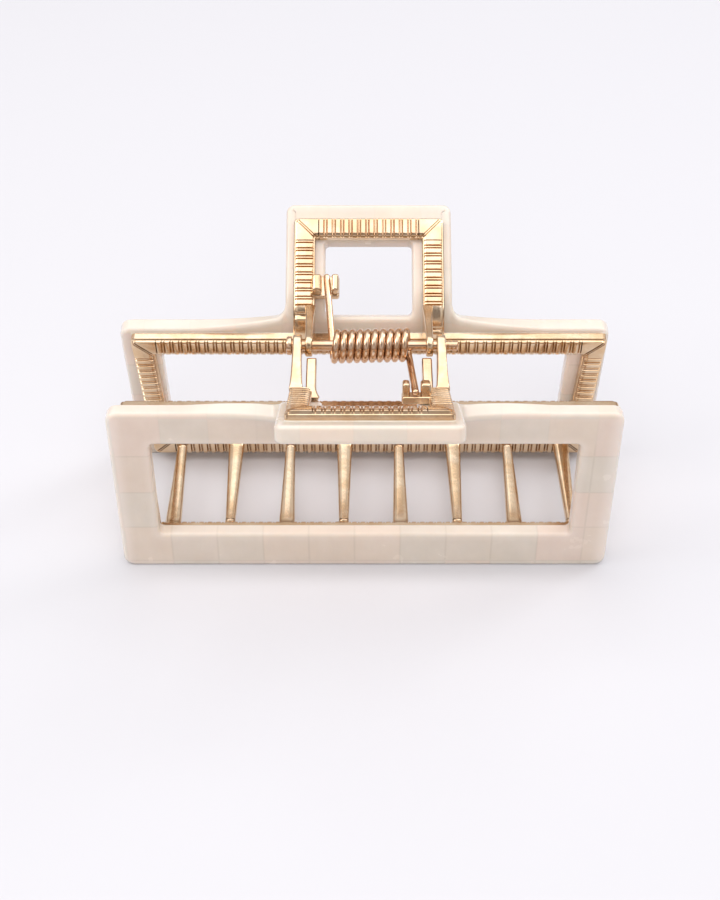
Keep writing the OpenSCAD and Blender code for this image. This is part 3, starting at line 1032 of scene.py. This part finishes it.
class CLIP_OT_covers(ClipOperator, bpy.types.Operator):
    """Build the two bent covers of pearl sheet"""
    bl_idname = "clip.covers"
    bl_label = "Covers"

    def execute(self, context):
        material = pearl_sheet()
        for jaw, side in JAWS.items():
            add_jaw_piece(jaw, "pearl_cover", "cover", cover_mesh(side), material, 60.0)
        return {"FINISHED"}


def add_castings(*parts):
    """Adds gold parts to both jaws: each a piece, the CAD node that it stands for and its mesh."""
    material = gold_casting()
    for jaw, side in JAWS.items():
        for part, node, mesh in parts:
            add_jaw_piece(jaw, part, node, mesh(side), material)


class CLIP_OT_castings(ClipOperator, bpy.types.Operator):
    """Build the ribbed frames of the jaws and the handles"""
    bl_idname = "clip.castings"
    bl_label = "Castings"

    def execute(self, context):
        add_castings(("ribbed_frame", "jaw_frame", jaw_frame_mesh),
                     ("ribbed_handle", "handle_frame", handle_frame_mesh))
        return {"FINISHED"}


class CLIP_OT_lugs(ClipOperator, bpy.types.Operator):
    """Build the hinge lugs of both jaws"""
    bl_idname = "clip.lugs"
    bl_label = "Lugs"

    def execute(self, context):
        add_castings(("hinge_lugs", "lugs", lug_meshes))
        return {"FINISHED"}


class CLIP_OT_teeth(ClipOperator, bpy.types.Operator):
    """Build the four teeth of each jaw"""
    bl_idname = "clip.teeth"
    bl_label = "Teeth"

    def execute(self, context):
        add_castings(("tapered_teeth", "teeth", teeth_mesh))
        return {"FINISHED"}


class CLIP_OT_forks(ClipOperator, bpy.types.Operator):
    """Build the forks that hold the spring's legs"""
    bl_idname = "clip.forks"
    bl_label = "Spring forks"

    def execute(self, context):
        add_castings(("leg_fork", "spring_fork", fork_mesh))
        return {"FINISHED"}


class CLIP_OT_pin(ClipOperator, bpy.types.Operator):
    """Build the headed hinge pin"""
    bl_idname = "clip.pin"
    bl_label = "Pin"

    def execute(self, context):
        piece = finish_piece("headed_pin", pin_mesh(), gold_turned())
        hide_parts("hinge_pin")
        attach(piece, "rear_jaw")
        return {"FINISHED"}


class CLIP_OT_spring(ClipOperator, bpy.types.Operator):
    """Build the torsion spring, which winds between the jaws"""
    bl_idname = "clip.spring"
    bl_label = "Spring"

    def execute(self, context):
        points, half = spring_path()
        wire = wire_mesh(points, chosen("hinge").wire_diameter / 2)
        piece = finish_piece("coiled_spring", wire, gold_wire(), 70.0)
        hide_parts("torsion_spring")
        METAL_SHIFT - half
        METAL_SHIFT + half
        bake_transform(piece)
        return {"FINISHED"}


class CLIP_OT_adhesive(ClipOperator, bpy.types.Operator):
    """Give the glue films their clear finish"""
    bl_idname = "clip.adhesive"
    bl_label = "Adhesive"

    def execute(self, context):
        material = clear_glue()
        for jaw in JAWS:
            film = frame["nodes"][f"{jaw}_adhesive"]
            film.data.materials.clear()
            film.data.materials.append(material)
        return {"FINISHED"}


# Lights: name, place, size, watts, tone, whether the metal mirrors it, and what it is aimed at
CLIP_MIDDLE = (0.0, 0.0, 0.03)
LIGHTS = [
    ("overhead", (0.06, 0.10, 0.70), (0.90, 0.80), 2.7, (1.0, 1.0, 1.0), True, CLIP_MIDDLE),
    ("key_left", (-0.55, -0.05, 0.55), (0.30, 0.45), 1.5, (1.0, 0.98, 0.95), True, CLIP_MIDDLE),
    ("rim_right", (0.50, 0.30, 0.45), (0.20, 0.40), 0.9, (0.97, 0.98, 1.0), True, CLIP_MIDDLE),
    ("front_fill", (0.0, -0.56, 0.58), (0.50, 0.50), 1.7, (1.0, 0.96, 0.93), False, CLIP_MIDDLE),
    # The glow that the milky covers let through to the floor between the jaws
    ("through_covers", (0.0, 0.0, 0.034), (0.080, 0.022), 0.007, (1.0, 0.88, 0.84), False, (0, 0, 0)),
]
# The surroundings from below to above, then the dark figure where a viewer would stand
ROOM = [(0.0, (0.28, 0.22, 0.19)), (0.18, (0.42, 0.35, 0.32)), (0.36, (0.66, 0.60, 0.58)),
        (0.60, (0.95, 0.93, 0.95)), (1.0, (1.0, 1.0, 1.04))]
FIGURE_WAY, FIGURE_TONE = (0.0, -0.68, 0.73), (0.10, 0.07, 0.06)
FLOOR_HALF = 1.6
CAMERA_PLACE = (-0.85 * mm, -197.3 * mm, 214.6 * mm)
CAMERA_TILT = radians(44.61)


def add_light(name, place, size, energy, tone, mirrored, aim):
    """A soft light with a point to aim at."""
    data = bpy.data.lights.new(name, "AREA")
    data.shape = "RECTANGLE"
    data.size, data.size_y = size
    data.energy = energy
    data.color = tone
    light = new_object(name, data)
    light.location = place
    light.visible_glossy = mirrored
    light.visible_camera = False
    light.rotation_euler = (Vector(aim) - light.location).to_track_quat("-Z", "Y").to_euler()


class CLIP_OT_stage(ClipOperator, bpy.types.Operator):
    """Set the pale floor, the soft lights, the surroundings and the camera"""
    bl_idname = "clip.stage"
    bl_label = "Stage"

    def execute(self, context):
        self.add_floor()
        self.add_surroundings(context.scene)
        for light in LIGHTS:
            add_light(*light)
        self.add_camera(context.scene)
        return {"FINISHED"}

    def add_floor(self):
        bm = bmesh.new()
        bm.faces.new([bm.verts.new((x * FLOOR_HALF, y * FLOOR_HALF, 0.0))
                      for x, y in ((-1, -1), (1, -1), (1, 1), (-1, 1))])
        mesh = made_mesh("floor", bm)
        mesh.materials.append(matt_floor())
        floor = new_object("floor", mesh)

    def add_surroundings(self, scene):
        """A bright ceiling over a dim warm room, which the gold reflects."""
        world = bpy.data.worlds.new("soft room")
        world.use_nodes = True
        scene.world = world
        g = Graph(world.node_tree)
        direction = g.node("TexCoord")
        room = g.node("ValToRGB", {"stops": ROOM}, {0: g.axis(direction, 2)})
        toward = g.vector("DOT_PRODUCT", direction, FIGURE_WAY, 1)
        room = g.mix(g.rise(toward, 0.93, 0.985) * 0.8, room, FIGURE_TONE)
        shader = g.node("Background", None, {"Color": room, "Strength": 0.80})
        g.node("OutputWorld", None, {"Surface": shader})

    def add_camera(self, scene):
        data = bpy.data.cameras.new("camera")
        data.lens = 58.21
        data.sensor_width = 36.0
        data.clip_start = 0.01
        camera = new_object("camera", data)
        camera.location = CAMERA_PLACE
        camera.rotation_euler = (CAMERA_TILT, 0.0, 0.0)
        scene.camera = camera
        scene.view_settings.view_transform = "Standard"
        scene.view_settings.look = "None"


STEPS = [CLIP_OT_covers, CLIP_OT_castings, CLIP_OT_lugs, CLIP_OT_teeth, CLIP_OT_forks, CLIP_OT_pin,
         CLIP_OT_spring, CLIP_OT_adhesive, CLIP_OT_stage]


class CLIP_PT_panel(bpy.types.Panel):
    """Lists the clip's pieces and settings"""
    bl_idname = "CLIP_PT_panel"
    bl_label = "Claw Clip"
    bl_space_type = "VIEW_3D"
    bl_region_type = "UI"
    bl_category = "Claw Clip"

    def draw(self, context):
        for step in STEPS:
            self.layout.operator(step.bl_idname)
        for name in SETTINGS:
            group = getattr(context.scene, name)
            box = self.layout.box()
            for key in group.bl_rna.properties.keys():
                if key not in ("rna_type", "name"):
                    box.prop(group, key)


SETTINGS = {"clip_cover": CoverSizes, "clip_casting": CastingSizes, "clip_hinge": HingeSizes,
            "clip_finishes": Finishes}
CLASSES = [*SETTINGS.values(), *STEPS, CLIP_PT_panel]


def register():
    for cls in CLASSES:
        bpy.utils.register_class(cls)
    for name, group in SETTINGS.items():
        setattr(bpy.types.Scene, name, PointerProperty(type=group))


def unregister():
    for name in SETTINGS:
        delattr(bpy.types.Scene, name)
    for cls in reversed(CLASSES):
        bpy.utils.unregister_class(cls)


def main():
    register()
    bpy.ops.clip.covers()
    bpy.ops.clip.castings()
    bpy.ops.clip.lugs()
    bpy.ops.clip.teeth()
    bpy.ops.clip.forks()
    bpy.ops.clip.pin()
    bpy.ops.clip.spring()
    bpy.ops.clip.adhesive()
    bpy.ops.clip.stage()
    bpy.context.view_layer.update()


if __name__ == "__main__":
    main()
